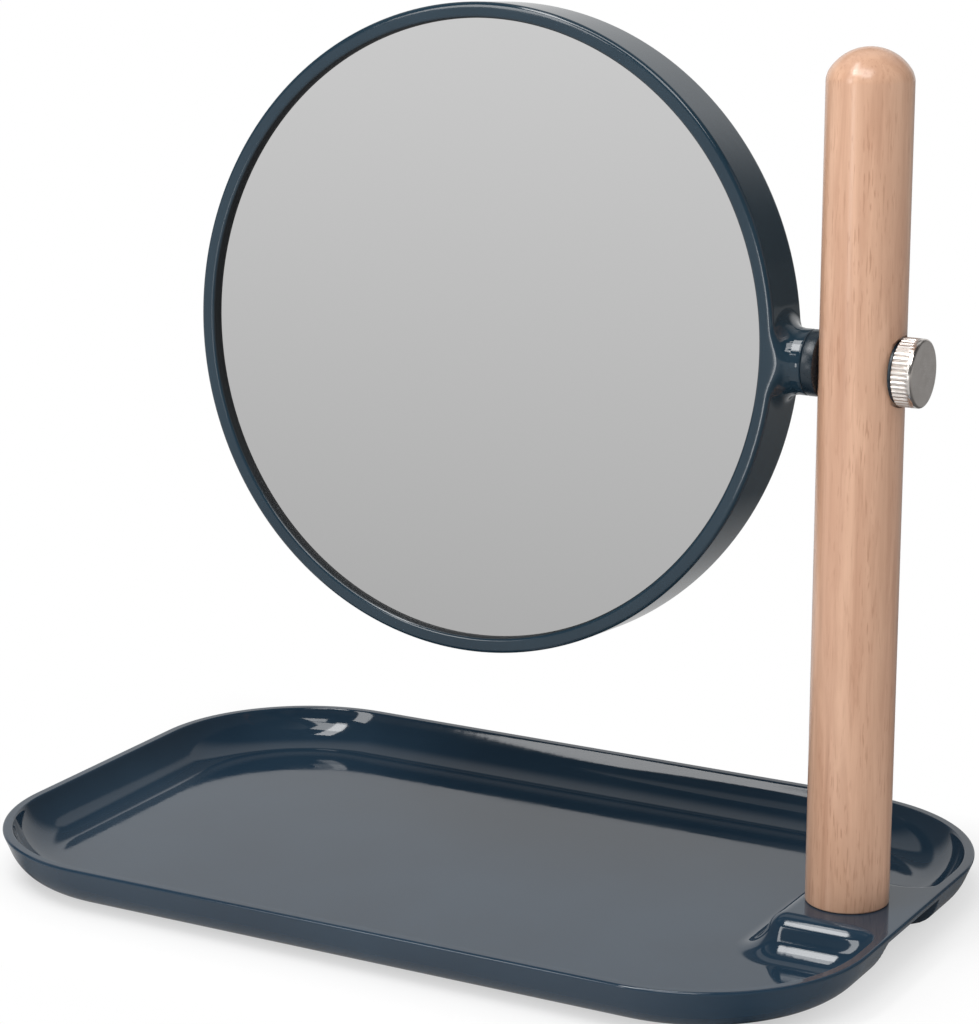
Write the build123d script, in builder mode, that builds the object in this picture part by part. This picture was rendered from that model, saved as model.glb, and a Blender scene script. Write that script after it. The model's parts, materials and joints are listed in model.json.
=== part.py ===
from build123d import *
import os
from math import cos, radians, sin, sqrt, tan

# Vanity mirror with tray, in millimetres.
# The origin is at the middle of the tray, on the surface that it stands on.
# +X points to the post, +Y to the back and +Z up. The mirror faces -Y.

# Tray: a moulded dish whose walls flare out to a flat lip
rim_length = 257.6
rim_width = 161.8
rim_corner = 47.5
lip_width = 3.0
tray_height = 13.0
tray_floor = 2.8
wall_flare = 22.0
cove_share = 0.86
base_round_share = 0.61
lip_round = 0.6

# Post seat: a hollow step of the tray, level with the lip
seat_side_margin = 8.0
seat_front_margin = 2.5
seat_end_margin = 8.9
seat_corner = 4.0
seat_flare = 22.0
seat_wall = 2.2
seat_foot_round = 9.0
seat_blend = 9.0
boss_diameter = 15.0
boss_drop = 2.6

# Anti-slip feet, let into the tray's underside
foot_diameter = 10.0
foot_stand = 1.0
foot_recess = 0.6
foot_inset_x = 38.0
foot_inset_y = 34.0

# Post: a turned dowel with a domed top
post_diameter = 22.0
post_length = 222.2
post_dome = 7.2
post_foot_chamfer = 0.5

# Post screw, driven up through the seat, with its thread as a plain cylinder
screw_diameter = 4.5
screw_length = 34.0
screw_point = 4.0
screw_head_diameter = 9.0
screw_head_height = 2.6
screw_head_round = 1.2
screw_washer_diameter = 12.0
screw_washer_thickness = 1.0
screw_slot_length = 5.0
screw_slot_width = 1.0
screw_slot_depth = 1.4

# Pivot: the stub, its friction washer and the spot faces on the post
pivot_above_seat = 142.0
stub_diameter = 17.0
stub_length = 7.0
stub_flare = 4.6
friction_washer_thickness = 3.2
stub_seat_depth = 0.8
insert_diameter = 8.0
insert_cover = 1.4

# Clamping screw: a knurled knob on a stud that threads into the stub
stud_diameter = 5.0
stud_end_gap = 1.0
stud_cover = 1.5
knob_diameter = 17.5
knob_thickness = 5.8
knob_bevel = 0.7
knob_seat_depth = 1.2
knob_washer_diameter = 16.0
knob_washer_thickness = 1.0
knurl_count = 42
knurl_depth = 0.42
knurl_collar = 1.0

# Mirror: a deep rim with a glass on each side
mirror_tilt = 4.5
frame_diameter = 172.4
frame_depth = 18.6
frame_wall = 2.6
glass_overlap = 1.3
front_lip_depth = 2.2
front_round = 1.1
rear_round = 1.5
inner_round = 1.0
front_glass_thickness = 2.5
rear_glass_thickness = 2.5
rear_glass_curve = 1100.0
rear_ring_depth = 2.4
rear_ring_width = 3.4
spacer_wall = 3.5

# Clearances on the radius, and how far cuts run past a face
running_clearance = 0.1
thread_clearance = 0.03
washer_clearance = 0.3
seat_clearance = 0.35
glass_clearance = 0.3
overrun = 1.0

# Heights and places that follow from the sizes
deck_z = foot_stand + tray_height
floor_z = foot_stand + tray_floor
dish_depth = deck_z - floor_z
flare_run_share = tan(radians(wall_flare))
half_corner_share = tan(radians(90 - wall_flare) / 2)
upright_share = cos(radians(wall_flare))
cove_radius = cove_share * dish_depth / upright_share / half_corner_share
base_round = base_round_share * tray_height / upright_share / half_corner_share
base_inset = tray_height * flare_run_share
dish_inset = lip_width + dish_depth * flare_run_share
foot_pitch_x = rim_length - 2 * foot_inset_x
foot_pitch_y = rim_width - 2 * foot_inset_y

post_radius = post_diameter / 2
post_x = rim_length / 2 - seat_end_margin - post_radius
post_top = deck_z + post_length
dome_radius = (post_radius**2 + post_dome**2) / post_dome / 2

seat_x = post_x - post_radius - seat_front_margin
seat_width = post_diameter + 2 * seat_side_margin
seat_slope_share = tan(radians(seat_flare))
seat_run = dish_depth * seat_slope_share
hollow_z = deck_z - seat_wall
hollow_inset = seat_wall / cos(radians(seat_flare)) - seat_wall * seat_slope_share
hollow_left = seat_x + hollow_inset
hollow_length = rim_length / 2 + rim_corner - hollow_left
hollow_width = seat_width - 2 * hollow_inset
boss_z = hollow_z - boss_drop

screw_radius = screw_diameter / 2
screw_seat_z = boss_z - screw_washer_thickness
screw_head_z = screw_seat_z - screw_head_height
screw_tip_z = screw_seat_z + screw_length

pivot_z = deck_z + pivot_above_seat
stub_radius = stub_diameter / 2
stub_seat_x = post_x - post_radius + stub_seat_depth
stub_end_x = stub_seat_x - friction_washer_thickness
stud_radius = stud_diameter / 2
insert_length = stub_length + frame_wall - insert_cover
insert_x = stub_end_x - insert_length
knob_radius = knob_diameter / 2
knob_seat_x = post_x + post_radius - knob_seat_depth
knob_x = knob_seat_x + knob_washer_thickness
knob_face_x = knob_x + knob_thickness
stud_grip = knob_thickness - stud_cover
knurl_length = knob_thickness - knob_bevel - knurl_collar
knurl_side = knurl_depth * sqrt(2)

frame_radius = frame_diameter / 2
bore_radius = frame_radius - frame_wall
glass_radius = bore_radius - glass_clearance
front_lip_radius = glass_radius - glass_overlap
mirror_x = stub_end_x - stub_length - frame_radius
stub_root_x = mirror_x + bore_radius + running_clearance
flare_start_x = mirror_x + frame_radius
front_z = frame_depth / 2
glass_z = front_z - front_lip_depth
rear_glass_z = rear_ring_depth - front_z
rear_glass_front_z = rear_glass_z + rear_glass_thickness
rear_glass_sag = rear_glass_curve - sqrt(rear_glass_curve**2 - glass_radius**2)
spacer_bore = glass_radius - spacer_wall
spacer_sag = rear_glass_curve - sqrt(rear_glass_curve**2 - spacer_bore**2)
spacer_rear_z = rear_glass_front_z + rear_glass_sag - spacer_sag

# Planes and axes that the turned pieces are drawn on
tilt_rise = sin(radians(mirror_tilt))
tilt_level = cos(radians(mirror_tilt))
mirror_centre = (mirror_x, 0, pivot_z)
facing = (0, -tilt_level, tilt_rise)
mirror_axis = Axis(mirror_centre, facing)
mirror_face = Plane(origin=mirror_centre, x_dir=(1, 0, 0), z_dir=facing)
mirror_section = Plane(origin=mirror_centre, x_dir=(1, 0, 0), z_dir=(0, -tilt_rise, -tilt_level))
pivot_axis = Axis((0, 0, pivot_z), (1, 0, 0))
pivot_section = Plane(origin=(0, 0, pivot_z), x_dir=(1, 0, 0), z_dir=(0, -1, 0))
post_axis = Axis((post_x, 0, 0), (0, 0, 1))
post_section = Plane(origin=(post_x, 0, 0), x_dir=(1, 0, 0), z_dir=(0, -1, 0))


def save(piece, node):
    """Label a finished piece and write it as its own file."""
    piece.part.label = node
    export_step(piece.part, f"parts/{node}.step")


def ring_profile(inner, outer, low, high):
    """Draw the section of a ring: radii along the sketch's X, faces along its Y."""
    Polyline((inner, low), (outer, low), (outer, high), (inner, high), close=True)


def sleeve_profile(inner, outer, start, end):
    """Draw the section of a sleeve on the pivot axis: ends along X, radii along Y."""
    Polyline((start, inner), (end, inner), (end, outer), (start, outer), close=True)


os.makedirs("parts", exist_ok=True)

# The step that carries the post: flared flanks on a slab, rounded where they meet the floor
seat_left = seat_x - seat_run
seat_half = seat_width / 2 + seat_run
seat_blend_x = rim_length / 2 - dish_inset
seat_blend_y = seat_half + 2 * seat_blend
seat_far_x = rim_length / 2 + seat_run + rim_corner
seat_foot_corner = seat_corner + seat_run

with BuildPart() as seat_form:
    with BuildSketch(Plane.XY.offset(floor_z)) as seat_plan:
        with BuildLine():
            Polyline(
                (seat_left, seat_half),
                (seat_left, -seat_half),
                (seat_blend_x, -seat_half),
                (seat_blend_x, -seat_blend_y),
                (seat_far_x, -seat_blend_y),
                (seat_far_x, seat_blend_y),
                (seat_blend_x, seat_blend_y),
                (seat_blend_x, seat_half),
                close=True,
            )
        make_face()
        rim_corners = seat_plan.vertices().group_by(Axis.X)[1]
        fillet(rim_corners.sort_by(lambda corner: abs(corner.Y))[:2], radius=seat_blend)
        fillet(seat_plan.vertices().group_by(Axis.X)[0], radius=seat_foot_corner)
    extrude(amount=dish_depth + overrun, taper=seat_flare)
    with BuildSketch(Plane.XY.offset(floor_z)):
        Rectangle(2 * (seat_far_x + rim_corner), rim_width)
    extrude(amount=-overrun)
    floor_face = seat_form.faces().filter_by(Axis.Z).group_by(Axis.Z)[1].sort_by(SortBy.AREA)[-1]
    fillet(floor_face.inner_wires()[0].edges(), radius=seat_foot_round)

# The space inside the dish
with BuildPart() as dish:
    with BuildSketch(Plane.XY.offset(floor_z)):
        RectangleRounded(
            rim_length - 2 * dish_inset,
            rim_width - 2 * dish_inset,
            rim_corner - dish_inset,
        )
    extrude(amount=dish_depth + overrun, taper=-wall_flare)
    fillet(dish.edges().group_by(Axis.Z)[0], radius=cove_radius)
    add(seat_form.part, mode=Mode.SUBTRACT)

with BuildPart() as tray:
    with BuildSketch(Plane.XY.offset(foot_stand)):
        RectangleRounded(
            rim_length - 2 * base_inset,
            rim_width - 2 * base_inset,
            rim_corner - base_inset,
        )
    extrude(amount=tray_height, taper=-wall_flare)
    fillet(tray.edges().group_by(Axis.Z)[0], radius=base_round)
    add(dish.part, mode=Mode.SUBTRACT)
    fillet(tray.edges().group_by(Axis.Z)[-1], radius=lip_round)
    # Hollow under the seat, open below and through the end wall
    with BuildSketch(Plane.XY.offset(hollow_z)):
        with Locations((hollow_left + hollow_length / 2, 0)):
            RectangleRounded(hollow_length, hollow_width, seat_corner)
    extrude(amount=-(hollow_z + overrun), taper=-seat_flare, mode=Mode.SUBTRACT)
    # Boss and hole for the post screw
    with BuildSketch(Plane.XY.offset(boss_z)):
        with Locations((post_x, 0)):
            Circle(boss_diameter / 2)
    extrude(amount=hollow_z - boss_z)
    with Locations(Location((post_x, 0, deck_z))):
        Hole(screw_radius + washer_clearance, depth=deck_z - boss_z + overrun)
    # Recesses for the feet
    with BuildSketch(Plane.XY.offset(foot_stand)):
        with GridLocations(foot_pitch_x, foot_pitch_y, 2, 2):
            Circle(foot_diameter / 2 + washer_clearance)
    extrude(amount=foot_recess, mode=Mode.SUBTRACT)

with BuildPart() as tray_feet:
    with BuildSketch():
        with GridLocations(foot_pitch_x, foot_pitch_y, 2, 2):
            Circle(foot_diameter / 2)
    extrude(amount=foot_stand + foot_recess)

with BuildPart() as post:
    with BuildSketch(post_section):
        with BuildLine():
            Polyline(
                (0, post_top),
                (0, deck_z),
                (post_radius - post_foot_chamfer, deck_z),
                (post_radius, deck_z + post_foot_chamfer),
                (post_radius, post_top - post_dome),
            )
            RadiusArc((post_radius, post_top - post_dome), (0, post_top), -dome_radius)
        make_face()
    revolve(axis=post_axis)
    # Pilot hole for the screw, then the pivot hole with a spot face on each side
    with Locations(Location((post_x, 0, deck_z), (180, 0, 0))):
        Hole(screw_radius + thread_clearance, depth=screw_tip_z - deck_z)
    with Locations(Plane(origin=(post_x + post_radius, 0, pivot_z), z_dir=(1, 0, 0))):
        CounterBoreHole(
            radius=stud_radius + running_clearance,
            counter_bore_radius=knob_radius + seat_clearance,
            counter_bore_depth=knob_seat_depth,
        )
    with Locations(Plane(origin=(post_x - post_radius, 0, pivot_z), z_dir=(-1, 0, 0))):
        CounterBoreHole(
            radius=stud_radius + running_clearance,
            counter_bore_radius=stub_radius + seat_clearance,
            counter_bore_depth=stub_seat_depth,
        )

with BuildPart() as post_screw_washer:
    with BuildSketch(Plane.XY.offset(boss_z - screw_washer_thickness)):
        with Locations((post_x, 0)):
            Circle(screw_washer_diameter / 2)
            Circle(screw_radius + washer_clearance, mode=Mode.SUBTRACT)
    extrude(amount=screw_washer_thickness)

with BuildPart() as post_screw:
    with BuildSketch(post_section):
        with BuildLine():
            Polyline(
                (0, screw_head_z),
                (screw_head_diameter / 2, screw_head_z),
                (screw_head_diameter / 2, screw_seat_z),
                (screw_radius, screw_seat_z),
                (screw_radius, screw_tip_z - screw_point),
                (0, screw_tip_z),
                close=True,
            )
        make_face()
    revolve(axis=post_axis)
    fillet(post_screw.edges().group_by(Axis.Z)[0], radius=screw_head_round)
    with BuildSketch(Plane.XY.offset(screw_head_z)):
        with Locations((post_x, 0)):
            Rectangle(screw_slot_length, screw_slot_width)
            Rectangle(screw_slot_width, screw_slot_length)
    extrude(amount=screw_slot_depth, mode=Mode.SUBTRACT)

# Stub with its flared root, trimmed to the depth of the rim
with BuildPart() as stub_form:
    with BuildSketch(pivot_section):
        with BuildLine():
            Line((stub_root_x, 0), (stub_root_x, stub_radius + stub_flare))
            Line((stub_root_x, stub_radius + stub_flare), (flare_start_x, stub_radius + stub_flare))
            RadiusArc(
                (flare_start_x, stub_radius + stub_flare),
                (flare_start_x + stub_flare, stub_radius),
                stub_flare,
            )
            Line((flare_start_x + stub_flare, stub_radius), (stub_end_x, stub_radius))
            Line((stub_end_x, stub_radius), (stub_end_x, 0))
            Line((stub_end_x, 0), (stub_root_x, 0))
        make_face()
    revolve(axis=pivot_axis)
    with BuildSketch(mirror_face.offset(-frame_depth / 2)):
        Rectangle(2 * (stub_end_x - mirror_x), frame_diameter)
    extrude(amount=frame_depth, mode=Mode.INTERSECT)

with BuildPart() as mirror_frame:
    with BuildSketch(mirror_section) as frame_section:
        with BuildLine():
            Polyline(
                (front_lip_radius, front_z),
                (frame_radius, front_z),
                (frame_radius, -front_z),
                (bore_radius, -front_z),
                (bore_radius, glass_z),
                (front_lip_radius, glass_z),
                close=True,
            )
        make_face()
        lip_corner = frame_section.vertices().group_by(Axis.X)[0].sort_by(Axis.Y)[0]
        fillet(lip_corner, radius=inner_round)
        front_corner = frame_section.vertices().group_by(Axis.X)[-1].sort_by(Axis.Y)[0]
        fillet(front_corner, radius=front_round)
        rear_corner = frame_section.vertices().group_by(Axis.X)[-1].sort_by(Axis.Y)[-1]
        fillet(rear_corner, radius=rear_round)
    revolve(axis=mirror_axis)
    add(stub_form.part)
    with Locations(Plane(origin=(stub_end_x, 0, pivot_z), z_dir=(1, 0, 0))):
        Hole(insert_diameter / 2 + thread_clearance, depth=insert_length)

with BuildPart() as pivot_insert:
    with BuildSketch(pivot_section):
        with BuildLine():
            sleeve_profile(stud_radius + thread_clearance, insert_diameter / 2, insert_x, stub_end_x)
        make_face()
    revolve(axis=pivot_axis)

with BuildPart() as friction_washer:
    with BuildSketch(pivot_section):
        with BuildLine():
            sleeve_profile(stud_radius + washer_clearance, stub_radius, stub_end_x, stub_seat_x)
        make_face()
    revolve(axis=pivot_axis)

with BuildPart() as knob_washer:
    with BuildSketch(pivot_section):
        with BuildLine():
            sleeve_profile(stud_radius + washer_clearance, knob_washer_diameter / 2, knob_seat_x, knob_x)
        make_face()
    revolve(axis=pivot_axis)

with BuildPart() as clamp_stud:
    with BuildSketch(pivot_section):
        with BuildLine():
            sleeve_profile(0, stud_radius, insert_x + stud_end_gap, knob_x + stud_grip)
        make_face()
    revolve(axis=pivot_axis)

with BuildPart() as thumb_knob:
    with BuildSketch(pivot_section):
        with BuildLine():
            Polyline(
                (knob_x, 0),
                (knob_x, knob_radius),
                (knob_face_x - knob_bevel, knob_radius),
                (knob_face_x, knob_radius - knob_bevel),
                (knob_face_x, 0),
                close=True,
            )
        make_face()
    revolve(axis=pivot_axis)
    with BuildSketch(Plane(origin=(knob_x, 0, pivot_z), x_dir=(0, 1, 0), z_dir=(1, 0, 0))):
        with PolarLocations(knob_radius, knurl_count):
            Rectangle(knurl_side, knurl_side, rotation=45)
    extrude(amount=knurl_length, mode=Mode.SUBTRACT)
    with Locations(Plane(origin=(knob_x, 0, pivot_z), z_dir=(-1, 0, 0))):
        Hole(stud_radius + thread_clearance, depth=stud_grip)

with BuildPart() as front_mirror:
    with BuildSketch(mirror_face.offset(glass_z - front_glass_thickness)):
        Circle(glass_radius)
    extrude(amount=front_glass_thickness)

with BuildPart() as spacer_ring:
    with BuildSketch(mirror_section):
        with BuildLine():
            ring_profile(spacer_bore, glass_radius, spacer_rear_z, glass_z - front_glass_thickness)
        make_face()
    revolve(axis=mirror_axis)

# Concave glass: both faces curve towards the front by the same sag
with BuildPart() as magnifying_mirror:
    with BuildSketch(mirror_section):
        with BuildLine():
            Line((0, rear_glass_z + rear_glass_sag), (0, rear_glass_front_z + rear_glass_sag))
            RadiusArc(
                (0, rear_glass_front_z + rear_glass_sag),
                (glass_radius, rear_glass_front_z),
                rear_glass_curve,
            )
            Line((glass_radius, rear_glass_front_z), (glass_radius, rear_glass_z))
            RadiusArc(
                (glass_radius, rear_glass_z),
                (0, rear_glass_z + rear_glass_sag),
                -rear_glass_curve,
            )
        make_face()
    revolve(axis=mirror_axis)

with BuildPart() as rear_ring:
    with BuildSketch(mirror_section):
        with BuildLine():
            ring_profile(bore_radius - rear_ring_width, bore_radius - thread_clearance, -front_z, rear_glass_z)
        make_face()
    revolve(axis=mirror_axis)

pieces = {
    "tray": tray,
    "tray_feet": tray_feet,
    "post": post,
    "post_screw": post_screw,
    "post_screw_washer": post_screw_washer,
    "mirror_frame": mirror_frame,
    "front_mirror": front_mirror,
    "spacer_ring": spacer_ring,
    "magnifying_mirror": magnifying_mirror,
    "rear_ring": rear_ring,
    "pivot_insert": pivot_insert,
    "friction_washer": friction_washer,
    "knob_washer": knob_washer,
    "clamp_stud": clamp_stud,
    "thumb_knob": thumb_knob,
}
for node, piece in pieces.items():
    save(piece, node)
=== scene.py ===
import json
from math import cos, pi, radians, sin, sqrt, tan

import bmesh
import bpy
import numpy as np
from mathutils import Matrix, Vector


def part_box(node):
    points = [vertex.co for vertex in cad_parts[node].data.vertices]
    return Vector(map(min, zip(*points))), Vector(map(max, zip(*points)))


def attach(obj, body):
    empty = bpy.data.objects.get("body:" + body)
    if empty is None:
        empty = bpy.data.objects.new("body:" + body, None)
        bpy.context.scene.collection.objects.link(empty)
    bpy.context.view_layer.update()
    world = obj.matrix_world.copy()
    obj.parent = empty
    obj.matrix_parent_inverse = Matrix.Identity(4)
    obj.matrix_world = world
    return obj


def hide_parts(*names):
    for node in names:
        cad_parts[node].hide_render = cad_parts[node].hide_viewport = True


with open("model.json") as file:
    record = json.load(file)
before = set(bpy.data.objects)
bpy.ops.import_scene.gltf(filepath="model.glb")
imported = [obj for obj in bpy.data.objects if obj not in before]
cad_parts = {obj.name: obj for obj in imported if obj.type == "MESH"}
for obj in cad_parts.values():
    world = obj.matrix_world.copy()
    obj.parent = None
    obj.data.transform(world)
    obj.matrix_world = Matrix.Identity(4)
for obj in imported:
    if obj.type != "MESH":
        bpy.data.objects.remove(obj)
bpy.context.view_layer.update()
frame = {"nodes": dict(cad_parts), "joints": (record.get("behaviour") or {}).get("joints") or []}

# Vanity mirror with tray, in metres. +X points to the post, +Y to the back and +Z up.

# Tray
rim_length = 0.2576
rim_width = 0.1618
rim_corner = 0.0475
lip_width = 0.003
lip_round = 0.0006
tray_floor = 0.0028
wall_flare = radians(22)
cove_share = 0.86
base_round_share = 0.61

# Seat of the post
seat_half_width = 0.019
seat_front_margin = 0.0025
seat_corner = 0.004
seat_flare = radians(22)
seat_wall = 0.0022
seat_foot_round = 0.009
seat_edge_round = 0.0055
valley_power = 2.2
edge_blend = 0.0009
hollow_blend = 0.0005
boss_radius = 0.0075
boss_drop = 0.0026
screw_hole_radius = 0.00255

# The tray's mesh is close between these insets and past this share of the deck, for the seat's flanks
close_inset_far = 0.046
close_inset_near = 0.028
deck_middle_share = 0.8

# Post
post_foot_round = 0.0006
post_rows_start = 0.02
post_dome = 0.0072
dome_edge_round = 0.0012
dome_edge_falls = (0.0, 0.00004, 0.00018)
spot_gap = 0.00035

# Mirror rim, glasses and stub
mirror_tilt = radians(4.5)
frame_depth = 0.0186
frame_wall = 0.0026
lip_overlap = 0.0016
lip_depth = 0.0022
inner_round = 0.0011
outer_round = 0.0011
rear_round = 0.0015
glass_clearance = 0.0003
glass_thickness = 0.0025
magnifier_curve = 1.1
rear_ring_depth = 0.0024
rear_ring_width = 0.0034
rear_ring_round = 0.0008
stub_radius = 0.0085
stub_flare = 0.0046
stub_reach = 0.0145
stub_end_round = 0.0006

# Knob and washers. The stub's washer stands off the turning stub by the play.
knob_bevel = 0.0007
knob_face_inset = 1.6 * knob_bevel
knurl_count = 42
knurl_points = 12
knurl_depth = 0.00042
knurl_share = 0.68
knurl_start_share = 0.6
washer_round = 0.0003
stud_hole_radius = 0.0028
stub_play = 0.00003

# Places read from the frame
tray_low, tray_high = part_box("tray")
post_low, post_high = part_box("post")
rim_low, rim_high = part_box("mirror_frame")
friction_low, friction_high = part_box("friction_washer")
knob_low, knob_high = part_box("thumb_knob")
knob_washer_low, knob_washer_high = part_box("knob_washer")
joints = {joint["name"]: joint for joint in frame["joints"]}
mirror_x, _, pivot_z = joints["mirror_tilt"]["pos_m"]
deck_z = tray_high.z
base_z = tray_low.z
floor_z = base_z + tray_floor
dish_depth = deck_z - floor_z
post_x = (post_low.x + post_high.x) / 2
post_radius = (post_high.x - post_low.x) / 2
post_top = post_high.z
knob_radius = (knob_high.z - knob_low.z) / 2
frame_radius = mirror_x - rim_low.x
stub_end_x = rim_high.x
seat_x = post_x - post_radius - seat_front_margin
hollow_z = deck_z - seat_wall

# Half sides of the rectangle through the centres of the tray's corners
core_half_x = rim_length / 2 - rim_corner
core_half_y = rim_width / 2 - rim_corner

# Rounds between the tray's flared wall and its level faces, by the run and the rise that a radius takes
round_run_share = tan((pi / 2 - wall_flare) / 2)
round_rise_share = cos(wall_flare) * round_run_share
cove_radius = cove_share * dish_depth / round_rise_share
cove_run = cove_radius * round_run_share
cove_foot = lip_width + dish_depth * tan(wall_flare) + cove_run
wall_start = cove_foot - cove_radius * cos(wall_flare)
base_round = base_round_share * (deck_z - base_z) / round_rise_share
base_run = base_round * round_run_share
lip_run = lip_round / round_run_share

# Directions of the object, and the mirror's own: up its face and out of its face
across = np.array((1.0, 0.0, 0.0))
backward = np.array((0.0, 1.0, 0.0))
vertical = np.array((0.0, 0.0, 1.0))
upward = np.array((0.0, sin(mirror_tilt), cos(mirror_tilt)))
outward = np.array((0.0, -cos(mirror_tilt), sin(mirror_tilt)))
mirror_centre = np.array((mirror_x, 0.0, pivot_z))

# Limits for the meshes
merge_distance = 1e-6
shortest_edge = 1e-7
least_blend = 1e-9
sharp_angle = radians(38)


# Mesh helpers


def steps(start, end, count):
    """Evenly spaced values from start up to, but without, the end."""
    return np.linspace(start, end, count, endpoint=False)


def rows_of(*values):
    """Rows with one column for each of the values, where a single number holds for all the rows."""
    return np.stack(np.broadcast_arrays(*values), axis=1)


def larger(a, b, width):
    """Smooth maximum: the larger value plus a cubic bump of the given width where the two are close."""
    width = np.maximum(width, least_blend)
    near = np.maximum(width - np.abs(a - b), 0) / width
    return np.maximum(a, b) + width * near**3 / 6


def smaller(a, b, width):
    """Smooth minimum, the mirror image of the smooth maximum."""
    return -larger(-a, -b, width)


def arc(centre, radius, start, end, count):
    """Points of a circular arc in a profile, from one angle in degrees to another."""
    angle = np.radians(np.linspace(start, end, count))
    return rows_of(centre[0] + radius * np.cos(angle), centre[1] + radius * np.sin(angle))


def surface(name, grids):
    """One mesh from point grids of rows by columns. The last column joins the first, and where a grid is
    marked as closed so does the last row. Coincident points are merged, which closes the poles, and the
    faces are turned outwards."""
    places, faces, first = [], [], 0
    for grid, closed in grids:
        rows, columns = grid.shape[:2]
        index = first + np.arange(rows * columns).reshape(rows, columns)
        if closed:
            index = np.vstack((index, index[:1]))
        ahead = np.roll(index, -1, axis=1)
        quads = np.stack((index[:-1], ahead[:-1], ahead[1:], index[1:]), axis=-1)
        faces.append(quads.reshape(-1, 4))
        places.append(grid.reshape(-1, 3))
        first += rows * columns
    mesh = bpy.data.meshes.new(name)
    mesh.from_pydata(np.concatenate(places), [], np.concatenate(faces))
    edit = bmesh.new()
    edit.from_mesh(mesh)
    bmesh.ops.remove_doubles(edit, verts=edit.verts, dist=merge_distance)
    bmesh.ops.dissolve_degenerate(edit, edges=edit.edges, dist=shortest_edge)
    bmesh.ops.recalc_face_normals(edit, faces=edit.faces)
    edit.to_mesh(mesh)
    edit.free()
    mesh.shade_smooth()
    mesh.set_sharp_from_angle(angle=sharp_angle)
    piece = bpy.data.objects.new(name, mesh)
    bpy.context.scene.collection.objects.link(piece)
    return piece


def dress(piece, material, body, slot, *nodes):
    """Give a piece its material and its body, and hide the nodes that it stands for. The slot is not used.
    """
    piece.data.materials.append(material)
    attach(piece, body)
    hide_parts(*nodes)


def turned(profile, origin, axis, side, other, angles):
    """A profile of (radius, distance along the axis) carried round the axis: radius times the cosine of
    the angle along one side, times its sine along the other, plus the distance along the axis."""
    radius = profile[:, 0][:, None, None]
    along = profile[:, 1][:, None, None]
    circle = np.cos(angles)[:, None] * side + np.sin(angles)[:, None] * other
    return origin + radius * circle + along * axis


def turned_on_pivot(profile, count):
    """A profile of (radius, x) carried round the pivot axis."""
    return turned(profile, pivot_z * vertical, across, backward, vertical, steps(0, 2 * pi, count))


def turned_on_post(profile, angles):
    """A profile of (radius, height) carried round the post's axis."""
    return turned(profile, post_x * across, vertical, across, backward, angles)


def turned_on_mirror(profile, angles):
    """A profile of (radius, height over the rim's middle plane) carried round the mirror's own axis."""
    return turned(profile, mirror_centre, outward, across, upward, angles)


def soft_ring_profile(inner, outer, low, high, round_radius):
    """Closed section of a ring with its two outer edges rounded."""
    return np.concatenate(
        (
            np.array(((inner, low),)),
            arc((outer - round_radius, low + round_radius), round_radius, -90, 0, 5),
            arc((outer - round_radius, high - round_radius), round_radius, 0, 90, 5),
            np.array(((inner, high),)),
        )
    )


# Tray


def tray_columns():
    """Points round the rectangle through the rim's corner centres, each with its outward direction. They
    are close together at the end that carries the seat."""
    deck_y = deck_middle_share * seat_half_width
    flank = steps(deck_y, core_half_y, 41)
    middle = np.linspace(-deck_y, deck_y, 15)
    seat_end = np.concatenate(((-core_half_y,), -flank[:0:-1], middle[:-1], flank))

    def corner(x, y, start, count):
        """A quarter turn of directions at a corner's centre."""
        angle = start + steps(0, pi / 2, count)
        return rows_of(x, y, np.cos(angle), np.sin(angle))

    return np.concatenate(
        (
            rows_of(core_half_x, seat_end, 1.0, 0.0),
            corner(core_half_x, core_half_y, 0, 40),
            rows_of(steps(core_half_x, -core_half_x, 24), core_half_y, 0.0, 1.0),
            corner(-core_half_x, core_half_y, pi / 2, 32),
            rows_of(-core_half_x, steps(core_half_y, -core_half_y, 10), -1.0, 0.0),
            corner(-core_half_x, -core_half_y, pi, 32),
            rows_of(steps(-core_half_x, core_half_x, 24), -core_half_y, 0.0, -1.0),
            corner(core_half_x, -core_half_y, 3 * pi / 2, 40),
        )
    )


def at_inset(columns, inset):
    """Plan points of the loops that lie the given insets inside the rim: the core rectangle plus the
    outward direction times what the inset leaves of the corner radius. Past that radius the core itself
    shrinks."""
    spare = np.maximum(rim_corner - inset, 0)[:, None]
    past = np.maximum(inset - rim_corner, 0)[:, None]
    x = columns[:, 0] * (1 - past / core_half_x) + columns[:, 2] * spare
    y = columns[:, 1] * (1 - past / core_half_y) + columns[:, 3] * spare
    return x, y


def beyond_step(x, y, left, half_width, corner):
    """Signed distance in plan from a step that runs from its left edge to the end: outside its core the
    length of the two overhangs, inside the larger of them, less the corner's radius."""
    over_x = left - x + corner
    over_y = np.abs(y) - half_width + corner
    outside = np.hypot(np.maximum(over_x, 0), np.maximum(over_y, 0))
    return outside + np.minimum(np.maximum(over_x, over_y), 0) - corner


def flank_height(distance):
    """Height of the seat's flank over the floor by its plan distance from the deck's edge: a convex arc
    that leaves the deck, the flared straight and a concave arc that runs out on the floor."""
    turn = tan((pi / 2 - seat_flare) / 2)
    edge_run = seat_edge_round * turn
    foot_run = seat_foot_round * turn
    foot_end = dish_depth * tan(seat_flare) + foot_run
    over_edge = np.clip(distance + edge_run, 0, seat_edge_round * cos(seat_flare))
    edge = dish_depth - seat_edge_round + np.sqrt(seat_edge_round**2 - over_edge**2)
    to_end = np.clip(foot_end - distance, 0, seat_foot_round * cos(seat_flare))
    foot = seat_foot_round - np.sqrt(seat_foot_round**2 - to_end**2)
    straight = dish_depth - distance / tan(seat_flare)
    past_edge = distance > edge_run * sin(seat_flare)
    past_straight = distance > dish_depth * tan(seat_flare) - foot_run * sin(seat_flare)
    return np.where(past_straight, foot, np.where(past_edge, straight, edge))


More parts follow.
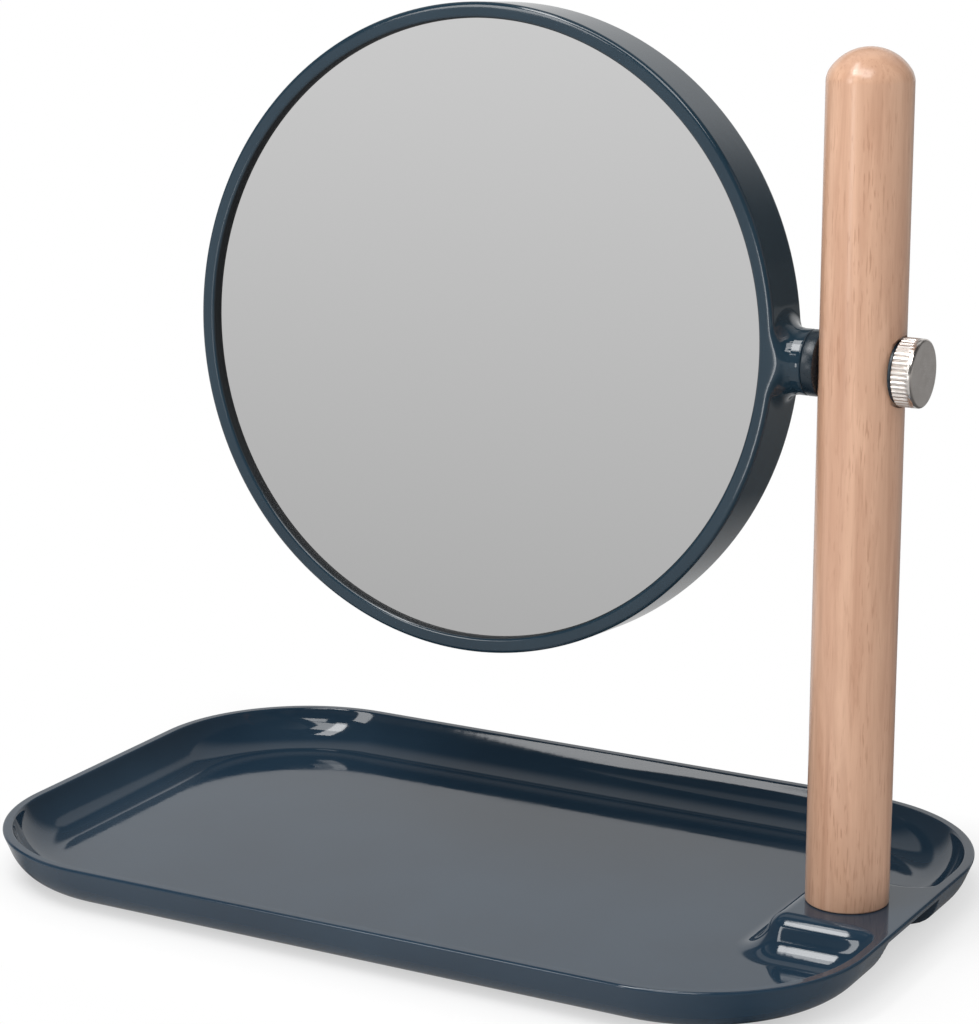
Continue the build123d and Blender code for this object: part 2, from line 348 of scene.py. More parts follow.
def inside_height(x, y, inset):
    """Height of the tray's inner face: the dish's cove and flared wall joined with the seat's flared
    flanks by the root of their summed powers, over the floor and under the level of the deck."""
    into_cove = np.clip(cove_foot - inset, 0, cove_radius * cos(wall_flare))
    up_wall = np.maximum(wall_start - inset, 0)
    dish = cove_radius - np.sqrt(cove_radius**2 - into_cove**2) + up_wall / tan(wall_flare)
    dish = np.broadcast_to(dish[:, None], x.shape)
    seat = flank_height(beyond_step(x, y, seat_x, seat_half_width, seat_corner))
    on_seat = np.clip(0.5 + (seat - dish) / dish_depth, 0, 1)
    joined = (dish**valley_power + seat**valley_power) ** (1 / valley_power)
    return floor_z + smaller(joined, dish_depth, edge_blend * (1 - on_seat))


def outer_section():
    """Inset and height along the tray's outside: an arc over the lip's edge, the flared straight down the
    wall, and an arc round to the level base."""
    wall_top = deck_z - lip_run * cos(wall_flare)
    lip = arc((0, 0), lip_round, 90, -np.degrees(wall_flare), 9)
    lip = rows_of(lip_run - lip[:, 0], deck_z - lip_round + lip[:, 1])
    wall_foot = base_z + base_round * (1 - sin(wall_flare))
    heights = np.concatenate((steps(wall_top, hollow_z, 4)[1:], steps(hollow_z, wall_foot, 8)))
    wall = rows_of((deck_z - heights) * tan(wall_flare), heights)
    base_centre = (deck_z - base_z) * tan(wall_flare) + base_run
    base = arc((0, 0), base_round, -np.degrees(wall_flare), -90, 15)
    base = rows_of(base_centre - base[:, 0], base_z + base_round + base[:, 1])
    to_middle = np.linspace(close_inset_far, rim_width / 2, 8)
    under = np.concatenate((steps(base_centre, close_inset_far, 42)[1:], to_middle))
    return np.concatenate((lip, wall, base, rows_of(under, base_z)))


def tray_shell():
    """The tray: loops inside the rim, carried up the inner face, over the lip and round the outside. There
    the height is the larger of the plain section and the hollow's ceiling with its flared flanks."""
    columns = tray_columns()
    inset = np.concatenate(
        (
            steps(rim_width / 2, close_inset_far, 8),
            steps(close_inset_far, close_inset_near, 45),
            steps(close_inset_near, cove_foot, 8),
            cove_foot - cove_radius * np.sin(steps(0, pi / 2 - wall_flare, 22)),
            steps(wall_start, lip_width - lip_round, 12),
            steps(lip_width - lip_round, lip_run, 4),
        )
    )
    x, y = at_inset(columns, inset)
    inner = np.stack((x, y, inside_height(x, y, inset)), axis=-1)
    section = outer_section()
    x, y = at_inset(columns, section[:, 0])
    hollow_margin = seat_wall / cos(seat_flare) - seat_wall * tan(seat_flare)
    distance = beyond_step(x, y, seat_x + hollow_margin, seat_half_width - hollow_margin, seat_corner)
    ceiling = np.minimum(hollow_z, hollow_z - distance / tan(seat_flare))
    plain = np.broadcast_to(section[:, 1:], x.shape)
    height = np.minimum(larger(plain, ceiling, hollow_blend), plain.clip(hollow_z))
    outer = np.stack((x, y, height), axis=-1)
    boss_low = hollow_z - boss_drop
    boss_high = hollow_z + seat_wall / 2
    boss = soft_ring_profile(screw_hole_radius, boss_radius, boss_low, boss_high, lip_round / 2)
    boss = turned_on_post(boss, steps(0, 2 * pi, 64))
    return surface("tray_shell", [(np.concatenate((inner, outer)), False), (boss, True)])


# Post


def post_column():
    """The dowel: a circle of the post's radius at each height, with a rounded foot and a spherical cap.
    Near the pivot the rows bend along the edges of the two spot faces, and inside them x stops at the
    spot face."""
    angles = steps(-pi, pi, 180)
    knob_flat = knob_low.x - post_x - (knob_washer_high.x - knob_washer_low.x)
    stub_flat = post_x - friction_high.x
    right = np.cos(angles) > 0
    flat = np.where(right, knob_flat, stub_flat)
    spot = np.where(right, knob_radius, stub_radius) + spot_gap
    sideways = np.minimum(np.abs(post_radius * np.sin(angles)), np.sqrt(post_radius**2 - flat**2))
    edge = np.sqrt(spot**2 - sideways**2)
    reach = 2 * stub_radius
    below = -edge - (reach - edge) * steps(1, 0, 8)[:, None]
    inside = np.linspace(-1, 1, 17)[:, None] * edge
    above = edge + (reach - edge) * np.linspace(0, 1, 9)[:, None]
    pivot_rows = pivot_z + np.concatenate((below, -edge[None], inside, above))

    foot_disc = post_radius - post_foot_round
    foot = np.concatenate(
        (
            rows_of(np.array((0.0, foot_disc / 2, foot_disc)), deck_z),
            arc((foot_disc, deck_z + post_foot_round), post_foot_round, -90, 0, 5)[1:],
        )
    )
    dome_start = post_top - post_dome
    lower = steps(post_rows_start, pivot_z - reach, 24)
    upper = steps(pivot_z + reach, dome_start - dome_edge_round, 16)[1:]

    def level(rows):
        """Heights that are the same at every angle."""
        return np.repeat(rows[:, None], angles.size, axis=1)

    heights = np.concatenate((level(foot[:, 1]), level(lower), pivot_rows, level(upper)))
    radius = np.full(heights.shape, post_radius)
    radius[: len(foot)] = foot[:, :1]
    x = radius * np.cos(angles)
    first = len(foot) + len(lower) + len(below) + 1
    spots = slice(first, first + len(inside))
    x[spots] = np.clip(x[spots], -stub_flat, knob_flat)
    column = np.stack((post_x + x, radius * np.sin(angles), heights), axis=-1)

    dome_radius = (post_radius**2 + post_dome**2) / (2 * post_dome)
    cap_angle = np.degrees(np.arcsin(post_radius / dome_radius))
    cap = arc((0, post_top - dome_radius), dome_radius, 90 - cap_angle, 90, 24)
    edge_heights = dome_start - dome_edge_round * np.array((1.0, 0.5, 0.0))
    dome_edge = rows_of(post_radius - np.array(dome_edge_falls), edge_heights)
    dome = turned_on_post(np.concatenate((dome_edge, cap[2:])), angles)
    return surface("post_dowel", [(np.concatenate((column, dome)), False)])


# Mirror


def rim_angles():
    """Angles round the mirror, close together where the stub leaves the rim."""
    near = stub_reach / frame_radius
    return np.concatenate((steps(-near, near, 130), steps(near, 2 * pi - near, 240)))


def mirror_rim():
    """The rim: a section with a rounded front lip carried round the mirror's axis. Where it meets the stub,
    the outer face rises along X by a concave quarter circle over the distance from the stub's axis. The
    stub is a profile carried round the pivot axis."""
    front = frame_depth / 2
    glass_seat = front - lip_depth
    bore = frame_radius - frame_wall
    lip = bore - lip_overlap
    outer_wall = steps(front - outer_round, rear_round - front, 47)[1:]
    section = np.concatenate(
        (
            np.array(((lip, glass_seat),)),
            arc((lip + inner_round, front - inner_round), inner_round, 180, 90, 9),
            arc((frame_radius - outer_round, front - outer_round), outer_round, 90, 0, 14),
            rows_of(frame_radius, outer_wall),
            arc((frame_radius - rear_round, rear_round - front), rear_round, 0, -90, 9),
            np.array(((bore, -front), (bore, glass_seat))),
        )
    )
    grid = turned_on_mirror(section, rim_angles())
    along = np.abs(section[:, 1])[:, None]
    sideways = (grid - mirror_centre) @ upward
    from_axis = np.hypot(along, sideways)
    into_flare = np.clip(stub_radius + stub_flare - from_axis, 0, stub_flare)
    rise = stub_flare - np.sqrt(stub_flare**2 - into_flare**2)
    face_width = frame_radius - outer_round - lip - inner_round
    outer = np.clip((section[:, 0] - lip - inner_round) / face_width, 0, 1)[:, None]
    outer[-2:] = 0
    grid[..., 0] += np.where(grid[..., 0] > mirror_x, rise * outer, 0)
    root = mirror_x + frame_radius
    stub_wall = np.linspace(root + stub_flare / 2, stub_end_x - stub_end_round, 6)
    stub = np.concatenate(
        (
            np.array(((0, root), (stub_radius, root))),
            rows_of(stub_radius, stub_wall),
            arc((stub_radius - stub_end_round, stub_end_x - stub_end_round), stub_end_round, 0, 90, 6),
            np.array(((0, stub_end_x),)),
        )
    )
    return surface("mirror_rim", [(grid, True), (turned_on_pivot(stub, 96), False)])


def magnifier():
    """The concave rear glass: both faces are part of a sphere, at the same sag towards the front."""
    radius = frame_radius - frame_wall - glass_clearance
    sag = magnifier_curve - sqrt(magnifier_curve**2 - radius**2)
    ring = np.linspace(0, radius, 40)
    rise = sag - (magnifier_curve - np.sqrt(magnifier_curve**2 - ring**2))
    rear = rear_ring_depth - frame_depth / 2
    back = rows_of(ring, rear + rise)
    face = rows_of(ring, rear + glass_thickness + rise)
    profile = np.concatenate((back, face[::-1]))
    return surface("magnifying_glass", [(turned_on_mirror(profile, steps(0, 2 * pi, 160)), False)])


def rear_retainer():
    """The ring snapped into the back: a rounded section carried round the mirror's axis."""
    bore = frame_radius - frame_wall
    inner = bore - rear_ring_width
    low = -frame_depth / 2
    high = low + rear_ring_depth
    profile = np.concatenate(
        (
            arc((inner + rear_ring_round, low + rear_ring_round), rear_ring_round, 180, 270, 6),
            np.array(((bore, low), (bore, high), (inner, high))),
        )
    )
    return surface("rear_retainer", [(turned_on_mirror(profile, steps(0, 2 * pi, 240)), True)])


# Washers and knob


def washer(name, low, high, inner):
    """A washer with rounded edges, carried round the pivot axis."""
    outer = (high.z - low.z) / 2
    profile = soft_ring_profile(inner, outer, low.x, high.x, washer_round)
    return surface(name, [(turned_on_pivot(profile, 96), True)])


def knurled_knob():
    """The thumb knob: a turned profile whose radius, along the knurled band, drops into evenly spaced V
    grooves by the depth less the distance from the groove's middle."""
    back, face = knob_low.x, knob_high.x
    band_end = back + knurl_share * (face - back)
    collar = face - knob_bevel
    rear = np.array(
        (
            (0, back),
            (knob_radius - knob_bevel, back),
            (knob_radius - knob_bevel / 3, back + knob_bevel / 3),
            (knob_radius, back + knob_bevel / 2),
        )
    )
    band = rows_of(knob_radius, np.linspace(back + knob_bevel, band_end, 8))
    front = np.concatenate(
        (
            rows_of(knob_radius, np.array((band_end + knurl_depth, collar))),
            arc((knob_radius - knob_bevel, collar), knob_bevel, 15, 90, 6),
            rows_of(steps(knob_radius - knob_face_inset, 0, 10), face),
            np.array(((0, face),)),
        )
    )
    profile = np.concatenate((rear, band, front))
    count = knurl_points * knurl_count
    grid = turned_on_pivot(profile, count)
    pitch = 2 * pi * knob_radius / knurl_count
    place = (np.arange(count) / count * knurl_count) % 1 - 0.5
    groove = np.maximum(knurl_depth - np.abs(place) * pitch, 0)
    depth = np.zeros(len(profile))
    depth[2] = knurl_start_share
    depth[3 : len(rear) + len(band)] = 1.0
    share = 1 - depth[:, None] * groove / np.maximum(profile[:, 0], knob_bevel)[:, None]
    grid[..., 1] *= share
    grid[..., 2] = pivot_z + (grid[..., 2] - pivot_z) * share
    return surface("knurled_knob", [(grid, False)])


# Materials


class Finish:
    """A material's node tree with short calls for the nodes used here."""

    def __init__(self, name):
        self.material = bpy.data.materials.new(name)
        self.material.use_nodes = True
        self.nodes = self.material.node_tree.nodes
        self.links = self.material.node_tree.links
        self.shader = self.nodes["Principled BSDF"]
        self.place = self.nodes.new("ShaderNodeTexCoord").outputs["Object"]

    def put(self, **values):
        """Set constant values on the shader's own sockets."""
        for name, value in values.items():
            self.shader.inputs[name.replace("_", " ")].default_value = value

    def join(self, output, name):
        """Lead an output to one of the shader's sockets."""
        self.links.new(output, self.shader.inputs[name])

    def axis(self, name):
        """One of the three Object coordinates."""
        node = self.nodes.new("ShaderNodeSeparateXYZ")
        self.links.new(self.place, node.inputs["Vector"])
        return node.outputs[name]

    def stretched(self, location, scale, rotation=(0.0, 0.0, 0.0)):
        """Object coordinates stretched, turned and moved by a Mapping node."""
        node = self.nodes.new("ShaderNodeMapping")
        node.inputs["Location"].default_value = location
        node.inputs["Scale"].default_value = scale
        node.inputs["Rotation"].default_value = rotation
        self.links.new(self.place, node.inputs["Vector"])
        return node.outputs["Vector"]

    def from_y_axis(self, vector):
        """How far a place is from the Y axis: the length of its X and Z."""
        flat = self.nodes.new("ShaderNodeVectorMath")
        flat.operation = "MULTIPLY"
        flat.inputs[1].default_value = (1.0, 0.0, 1.0)
        self.links.new(vector, flat.inputs[0])
        length = self.nodes.new("ShaderNodeVectorMath")
        length.operation = "LENGTH"
        self.links.new(flat.outputs[0], length.inputs[0])
        return length.outputs["Value"]

    def noise(self, vector, scale, detail=3.0, roughness=0.5, distortion=0.0):
        """Noise over the given coordinates."""
        node = self.nodes.new("ShaderNodeTexNoise")
        node.inputs["Scale"].default_value = scale
        node.inputs["Detail"].default_value = detail
        node.inputs["Roughness"].default_value = roughness
        node.inputs["Distortion"].default_value = distortion
        self.links.new(vector, node.inputs["Vector"])
        return node.outputs["Fac"]

    def spread(self, value, low, high, to_low, to_high):
        """A value's range carried to another one, with its ends held."""
        node = self.nodes.new("ShaderNodeMapRange")
        names = ("From Min", "From Max", "To Min", "To Max")
        for name, number in zip(names, (low, high, to_low, to_high)):
            node.inputs[name].default_value = number
        self.links.new(value, node.inputs["Value"])
        return node.outputs["Result"]

    def blend(self, factor, low, high):
        """Two colours, or the outputs that hold them, mixed by a factor."""
        node = self.nodes.new("ShaderNodeMix")
        node.data_type = "RGBA"
        self.links.new(factor, node.inputs["Factor"])
        for socket, colour in ((node.inputs[6], low), (node.inputs[7], high)):
            if isinstance(colour, tuple):
                socket.default_value = (*colour, 1.0)
            else:
                self.links.new(colour, socket)
        return node.outputs[2]

    def math(self, operation, a, b):
        """An operation on two numbers or outputs."""
        node = self.nodes.new("ShaderNodeMath")
        node.operation = operation
        for socket, value in zip(node.inputs, (a, b)):
            if isinstance(value, float):
                socket.default_value = value
            else:
                self.links.new(value, socket)
        return node.outputs["Value"]

    def bump(self, height, strength, distance):
        """A bump in the shader's normal."""
        node = self.nodes.new("ShaderNodeBump")
        node.inputs["Strength"].default_value = strength
        node.inputs["Distance"].default_value = distance
        self.links.new(height, node.inputs["Height"])
        self.join(node.outputs["Normal"], "Normal")


# Reach of the dull inside, painted dark as shade, over the lip's edge, and of the polished face over the
# knob's edge
dull_shade_from = 0.0001
dull_shade_to = 0.0005
face_polish_from = 0.0012
face_polish_to = 0.0008


def petrol_gloss(name, dark, light, dull_shaded_inside=False):
    """Glossy moulded plastic: a dark petrol blue with faint flow clouds, a slight ripple and wiped smears.
    On the mirror's rim the inside of the front lip is dull and painted dark, a painted shade in the recess."""
    finish = Finish(name)
    clouds = finish.noise(finish.place, 22.0, detail=4.0)
    colour = finish.blend(finish.spread(clouds, 0.35, 0.65, 0.0, 1.0), dark, light)
    wiped = finish.stretched((0.0, 0.0, 0.0), (1.0, 3.5, 1.0))
    smears = finish.noise(wiped, 38.0, detail=5.0, roughness=0.6)
    polish = finish.spread(smears, 0.35, 0.75, 0.045, 0.1)
    if dull_shaded_inside:
        middle = (-mirror_x, sin(mirror_tilt) * pivot_z, -cos(mirror_tilt) * pivot_z)
        on_mirror = finish.stretched(middle, (1.0, 1.0, 1.0), (mirror_tilt, 0.0, 0.0))
        lip = frame_radius - frame_wall - lip_overlap
        inside = finish.spread(finish.from_y_axis(on_mirror), lip + dull_shade_from, lip + dull_shade_to, 1.0, 0.0)
        polish = finish.math("MAXIMUM", polish, finish.math("MULTIPLY", inside, 0.75))
        # Painted shade: the inside of the lip is darkened where shade falls in the recess
        colour = finish.blend(inside, colour, (0.003, 0.006, 0.009))
    finish.join(colour, "Base Color")
    finish.join(polish, "Roughness")
    finish.put(IOR=1.53)
    ripple = finish.noise(finish.place, 260.0, detail=2.0)
    finish.bump(ripple, strength=0.025, distance=0.0004)
    return finish.material


def beech():
    """Varnished beech: long soft bands of two tones, broad lighter clouds and short darker flecks in
    clusters, all drawn out along the grain, under a clear coat."""
    finish = Finish("beech")

    def grain(stretch):
        """Coordinates from the post's axis, drawn out along the grain."""
        return finish.stretched((-post_x, 0.0, 0.0), (1.0, 1.0, stretch))

    bands = finish.noise(grain(0.06), 230.0, detail=5.0, roughness=0.6, distortion=0.9)
    tone = finish.spread(bands, 0.32, 0.68, 0.0, 1.0)
    colour = finish.blend(tone, (0.492, 0.265, 0.167), (0.70, 0.428, 0.291))
    broad = finish.noise(grain(0.16), 62.0, detail=2.0, distortion=0.6)
    colour = finish.blend(finish.spread(broad, 0.36, 0.66, 0.0, 0.5), colour, (0.655, 0.405, 0.27))
    rays = finish.noise(grain(0.09), 1900.0, detail=2.0, roughness=0.45, distortion=0.3)
    clusters = finish.noise(grain(0.25), 150.0, detail=2.0)
    dashes = finish.spread(rays, 0.57, 0.68, 0.0, 1.0)
    flecks = finish.math("MULTIPLY", dashes, finish.spread(clusters, 0.38, 0.64, 0.08, 0.6))
    finish.join(finish.blend(flecks, colour, (0.40, 0.195, 0.11)), "Base Color")
    finish.join(finish.spread(bands, 0.3, 0.7, 0.4, 0.52), "Roughness")
    finish.put(Coat_Weight=1.0, Coat_Roughness=0.22, Specular_IOR_Level=0.25)
    finish.bump(finish.math("ADD", bands, flecks), strength=0.12, distance=0.00015)
    return finish.material


def silvering(name, low, high):
    """Silvered glass: a clear metal whose grey falls off from the top of the glass to its bottom, a painted
    reflection of the room, with the faintest waviness in its polish."""
    finish = Finish(name)
    # Painted reflection: the grey darkens from the top of the glass to its bottom
    reflection_fall = finish.spread(finish.axis("Z"), pivot_z - frame_radius, pivot_z + frame_radius, 0.0, 1.0)
    finish.join(finish.blend(reflection_fall, low, high), "Base Color")
    polish = finish.noise(finish.place, 30.0, detail=2.0)
    finish.join(finish.spread(polish, 0.3, 0.7, 0.015, 0.03), "Roughness")
    finish.put(Metallic=1.0)
    return finish.material


def nickel():
    """Nickel plate: pale warm metal with fine lathe lines round the pivot and a little tarnish, duller on
    the knurled band than on the face."""
    finish = Finish("nickel")
    lines = finish.nodes.new("ShaderNodeTexWave")
    lines.wave_type = "RINGS"
    lines.rings_direction = "X"
    lines.inputs["Scale"].default_value = 900.0
    lines.inputs["Distortion"].default_value = 1.5
    finish.links.new(finish.stretched((0.0, 0.0, -pivot_z), (1.0, 1.0, 1.0)), lines.inputs["Vector"])
    tarnish = finish.noise(finish.place, 420.0, detail=4.0)
    tone = finish.spread(tarnish, 0.35, 0.7, 0.0, 1.0)
    finish.join(finish.blend(tone, (0.84, 0.79, 0.75), (0.74, 0.69, 0.65)), "Base Color")
    face_x = knob_high.x
    band = finish.spread(finish.axis("X"), face_x - face_polish_from, face_x - face_polish_to, 0.16, 0.0)
    polish = finish.spread(lines.outputs["Fac"], 0.0, 1.0, 0.2, 0.28)
    finish.join(finish.math("ADD", polish, band), "Roughness")
    finish.put(Metallic=1.0)
    finish.bump(lines.outputs["Fac"], strength=0.02, distance=0.00003)
    return finish.material


def grained(name, dark, light, scale, roughness, metallic):
    """A plain finish with fine mottling, used for rubber, plated steel, brass and hidden plastic."""
    finish = Finish(name)
    mottle = finish.noise(finish.place, scale, detail=4.0, roughness=0.6)
    finish.join(finish.blend(finish.spread(mottle, 0.3, 0.7, 0.0, 1.0), dark, light), "Base Color")
    finish.join(finish.spread(mottle, 0.3, 0.7, roughness - 0.06, roughness + 0.06), "Roughness")
    finish.put(Metallic=metallic)
    finish.bump(mottle, strength=0.1, distance=0.0001)
    return finish.material


# Pieces

plastic = petrol_gloss("petrol_gloss", (0.0147, 0.0323, 0.0545), (0.0187, 0.0398, 0.0653))
# The rim's copy of the plastic is painted darker than the tray's, a painted shade, and the inside of its
# lip darker still
shaded_rim_plastic = petrol_gloss("petrol_rim", (0.0122, 0.028, 0.043), (0.016, 0.0345, 0.0515), dull_shaded_inside=True)
mirror_grey = silvering("mirror_grey", (0.66, 0.66, 0.66), (0.96, 0.96, 0.96))
black_rubber = grained("black_rubber", (0.010, 0.011, 0.012), (0.020, 0.021, 0.022), 900.0, 0.5, 0.0)
washer_black = grained("washer_black", (0.008, 0.017, 0.026), (0.011, 0.022, 0.033), 900.0, 0.3, 0.0)
zinc = grained("zinc_plate", (0.50, 0.50, 0.51), (0.66, 0.66, 0.67), 700.0, 0.34, 1.0)
turned_brass = grained("turned_brass", (0.52, 0.36, 0.13), (0.64, 0.46, 0.19), 600.0, 0.3, 1.0)
inner_plastic = grained("inner_plastic", (0.028, 0.028, 0.03), (0.042, 0.042, 0.045), 500.0, 0.55, 0.0)

dress(tray_shell(), plastic, "base", "petrol_plastic", "tray")
dress(post_column(), beech(), "base", "beech", "post")
dress(mirror_rim(), shaded_rim_plastic, "mirror", "petrol_plastic", "mirror_frame")
dress(rear_retainer(), plastic, "mirror", "petrol_plastic", "rear_ring")
dress(magnifier(), mirror_grey, "mirror", "mirror_glass", "magnifying_mirror")
dress(
    washer("stub_washer", friction_low + Vector((stub_play, 0.0, 0.0)), friction_high, stud_hole_radius),
    washer_black,
    "base",
    "washer_rubber",
    "friction_washer",
)
dress(
    washer("knob_disc", knob_washer_low, knob_washer_high, stud_hole_radius),
    washer_black,
    "washer",
    "washer_rubber",
    "knob_washer",
)
dress(knurled_knob(), nickel(), "thumb_screw", "nickel", "thumb_knob")

kept_nodes = {
    "front_mirror": mirror_grey,
    "spacer_ring": inner_plastic,
    "pivot_insert": turned_brass,
    "clamp_stud": zinc,
    "post_screw": zinc,
    "post_screw_washer": zinc,
    "tray_feet": black_rubber,
}
for node, material in kept_nodes.items():
    frame["nodes"][node].data.materials.clear()
    frame["nodes"][node].data.materials.append(material)


# Stage, light and camera

view_azimuth = radians(28.96)
view_elevation = radians(14.10)
camera_place = Vector((0.40851, -0.73459, 0.31651))
focal_pixels = 3200.3
frame_pixels = 979.0
sensor_width = 36.0

# The floor, by the distance from the tray's base. For the camera the shadow fades out to white. In
# reflections it is dark under the tray, a painted shadow, and dimmer on a side to the right that leans with
# the depth.
floor_half = 3.0
base_half_x = 0.108
base_half_y = 0.061
white_reach = 0.055
shadow_veil = 0.5
painted_shadow_reach = 0.026
painted_shadow_share = 0.05
dim_reach = (0.1, 0.35)
dim_shares = (0.15, 0.45)
dim_side = (0.06, 0.16)
dim_lean = 0.2
table_shine = 0.62

# Even light from all round
room_light = 0.53


def pale_floor():
    """A flat floor that takes the object's shadow. Away from the object it fades to plain white for the
    camera. In reflections it is a pale table, with a painted shadow under the tray, and darker to the right
    behind it."""
    corner = floor_half * np.array(((-1, -1, 0), (1, -1, 0), (1, 1, 0), (-1, 1, 0)))
    mesh = bpy.data.meshes.new("floor")
    mesh.from_pydata(corner, [], [(0, 1, 2, 3)])
    floor = bpy.data.objects.new("floor", mesh)
    bpy.context.scene.collection.objects.link(floor)
    finish = Finish("pale_floor")
    grain = finish.noise(finish.place, 40.0, detail=2.0)
    finish.join(finish.blend(grain, (0.93, 0.93, 0.93), (0.95, 0.95, 0.95)), "Base Color")
    finish.put(Roughness=0.9, Specular_IOR_Level=0.0)
    x, y = finish.axis("X"), finish.axis("Y")
    beyond_x = finish.math("SUBTRACT", finish.math("ABSOLUTE", x, 0.0), base_half_x)
    beyond_y = finish.math("SUBTRACT", finish.math("ABSOLUTE", y, 0.0), base_half_y)
    clear = finish.math("MAXIMUM", beyond_x, beyond_y)
    fade = finish.spread(clear, 0.0, white_reach, shadow_veil, 1.0)
    # Painted shadow: in reflections the floor is dark under the tray
    under = finish.spread(clear, 0.0, painted_shadow_reach, painted_shadow_share, 1.0)
    far = finish.spread(clear, *dim_reach, *dim_shares)
    aside = finish.math("ADD", x, finish.math("MULTIPLY", y, dim_lean))
    aside = finish.spread(aside, *dim_side, 0.0, 1.0)
    loss = finish.math("MULTIPLY", aside, finish.math("SUBTRACT", 1.0, far))
    dimmed = finish.math("SUBTRACT", 1.0, loss)
    table = finish.math("MULTIPLY", finish.math("MULTIPLY", under, dimmed), table_shine)
    path = finish.nodes.new("ShaderNodeLightPath")
    shown = finish.math("MAXIMUM", path.outputs["Is Camera Ray"], path.outputs["Is Transmission Ray"])
    shine = path.outputs["Is Glossy Ray"]
    white = finish.nodes.new("ShaderNodeEmission")
    strength = finish.math("MAXIMUM", shown, finish.math("MULTIPLY", table, shine))
    finish.links.new(strength, white.inputs["Strength"])
    mix = finish.nodes.new("ShaderNodeMixShader")
    share = finish.math("MAXIMUM", finish.math("MULTIPLY", fade, shown), shine)
    finish.links.new(share, mix.inputs[0])
    finish.links.new(finish.shader.outputs[0], mix.inputs[1])
    finish.links.new(white.outputs[0], mix.inputs[2])
    finish.links.new(mix.outputs[0], finish.nodes["Material Output"].inputs["Surface"])
    floor.data.materials.append(finish.material)


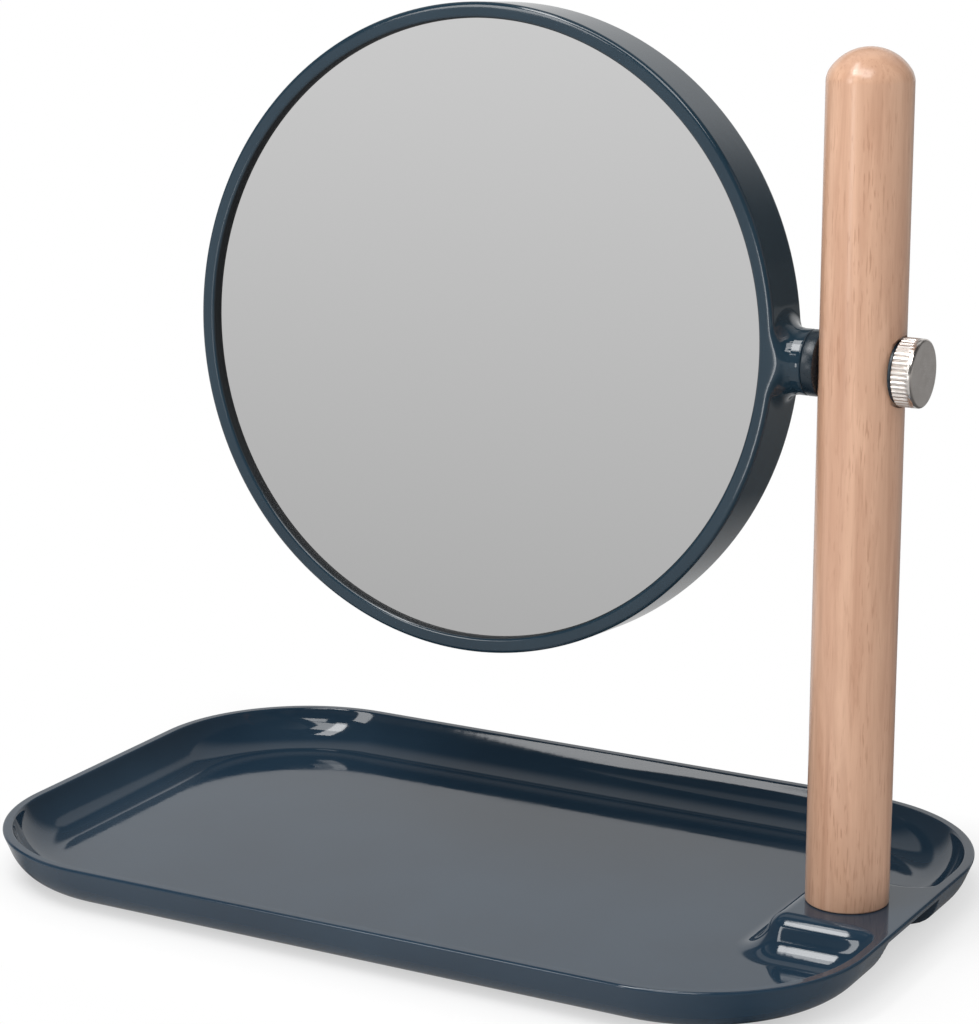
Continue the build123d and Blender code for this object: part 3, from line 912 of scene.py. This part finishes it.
def studio_world():
    """Even light from all round. What shines sees a bright backdrop with a strip of light over it, the
    table and, above the table, a dim room."""
    world = bpy.data.worlds.new("studio")
    bpy.context.scene.world = world
    world.use_nodes = True
    nodes, links = world.node_tree.nodes, world.node_tree.links
    nodes.clear()

    def link(node, **inputs):
        """Set or link a node's inputs, by name or as s0, s1 and s2 by number."""
        for name, value in inputs.items():
            key = int(name[1:]) if name[1:].isdigit() else name.replace("_", " ")
            socket = node.inputs[key]
            if isinstance(value, (int, float, tuple)):
                socket.default_value = value
            else:
                links.new(value, socket)
        return node

    def math(operation, a, b):
        """An operation on two numbers or outputs."""
        node = nodes.new("ShaderNodeMath")
        node.operation = operation
        return link(node, s0=a, s1=b).outputs[0]

    def spread(value, low, high, to_low, to_high):
        """A value's range carried to another one, with soft ends."""
        node = nodes.new("ShaderNodeMapRange")
        node.interpolation_type = "SMOOTHSTEP"
        limits = {"From_Min": low, "From_Max": high, "To_Min": to_low, "To_Max": to_high}
        return link(node, Value=value, **limits).outputs[0]

    def along(direction):
        """How far the seen direction points along a level one."""
        node = nodes.new("ShaderNodeVectorMath")
        node.operation = "DOT_PRODUCT"
        return link(node, s0=way, s1=direction).outputs["Value"]

    way = nodes.new("ShaderNodeTexCoord").outputs["Generated"]
    behind = along((-sin(view_azimuth), cos(view_azimuth), 0.0))
    aside = along((cos(view_azimuth), sin(view_azimuth), 0.0))
    height = link(nodes.new("ShaderNodeSeparateXYZ"), Vector=way).outputs["Z"]
    # The backdrop ends at a height that rises to the right, and fades out to the sides
    raised = spread(aside, 0.05, 0.4, 0.0, 0.17)
    low = spread(math("SUBTRACT", height, raised), 0.42, 0.48, 0.72, 0.1)
    back = math("MULTIPLY", spread(behind, 0.64, 0.81, 0.15, 1.0), low)
    # The strip of light hangs high, between the object and the backdrop
    strip = math("MULTIPLY", spread(behind, 0.1, 0.5, 0.0, 0.55), spread(behind, 0.66, 0.72, 1.0, 0.0))
    strip = math("MULTIPLY", strip, spread(height, 0.58, 0.62, 0.0, 1.0))
    # The table shows up to just over the horizon, less to the back
    horizon = spread(height, 0.06, 0.085, table_shine, 0.0)
    table = math("MULTIPLY", horizon, spread(behind, -0.1, 0.3, 1.0, 0.2))
    shine = math("MAXIMUM", math("MAXIMUM", back, strip), table)
    path = nodes.new("ShaderNodeLightPath")
    shown = math("MAXIMUM", path.outputs["Is Camera Ray"], path.outputs["Is Transmission Ray"])
    level = math("MAXIMUM", shown, math("MULTIPLY", shine, path.outputs["Is Glossy Ray"]))
    seen = math("MAXIMUM", shown, path.outputs["Is Glossy Ray"])
    white = (1.0, 1.0, 1.0, 1.0)
    soft = link(nodes.new("ShaderNodeBackground"), Color=white, Strength=room_light)
    sharp = link(nodes.new("ShaderNodeBackground"), Color=white, Strength=level)
    mix = link(nodes.new("ShaderNodeMixShader"), s0=seen, s1=soft.outputs[0], s2=sharp.outputs[0])
    link(nodes.new("ShaderNodeOutputWorld"), Surface=mix.outputs[0])


def softbox(name, place, aim, width, height, power):
    """An area light at a place, turned to face the point that it aims at."""
    light = bpy.data.lights.new(name, "AREA")
    light.shape = "RECTANGLE"
    light.size = width
    light.size_y = height
    light.energy = power
    lamp = bpy.data.objects.new(name, light)
    lamp.location = place
    lamp.rotation_euler = (Vector(aim) - Vector(place)).to_track_quat("-Z", "Y").to_euler()
    lamp.visible_camera = False
    bpy.context.scene.collection.objects.link(lamp)


def photo_camera():
    """The camera at the photograph's place and angle, with its lens for a frame of that width."""
    data = bpy.data.cameras.new("camera")
    data.sensor_fit = "HORIZONTAL"
    data.sensor_width = sensor_width
    data.lens = focal_pixels / frame_pixels * sensor_width
    camera = bpy.data.objects.new("camera", data)
    camera.location = camera_place
    level = cos(view_elevation)
    looking = Vector((-sin(view_azimuth) * level, cos(view_azimuth) * level, -sin(view_elevation)))
    camera.rotation_euler = looking.to_track_quat("-Z", "Y").to_euler()
    bpy.context.scene.collection.objects.link(camera)
    bpy.context.scene.camera = camera


pale_floor()
studio_world()
softbox("key_bar", (0.02, -0.45, 0.9), aim=(0.02, 0.0, 0.1), width=0.66, height=0.34, power=3.5)
softbox("key_strip", (-0.23, -0.365, 0.93), aim=(-0.23, 0.0, 0.1), width=0.14, height=0.66, power=2.0)
softbox("front_panel", (-0.54, -1.02, 0.58), aim=(-0.05, 0.0, 0.08), width=0.24, height=0.52, power=2.1)
softbox("key_wing", (0.2, -0.74, 0.86), aim=(0.0, 0.0, 0.05), width=0.42, height=0.16, power=1.1)
softbox("post_strip", (-0.225, -0.93, 0.1), aim=(0.109, 0.0, 0.16), width=0.08, height=0.2, power=0.3)
photo_camera()
bpy.context.scene.view_settings.view_transform = "Standard"
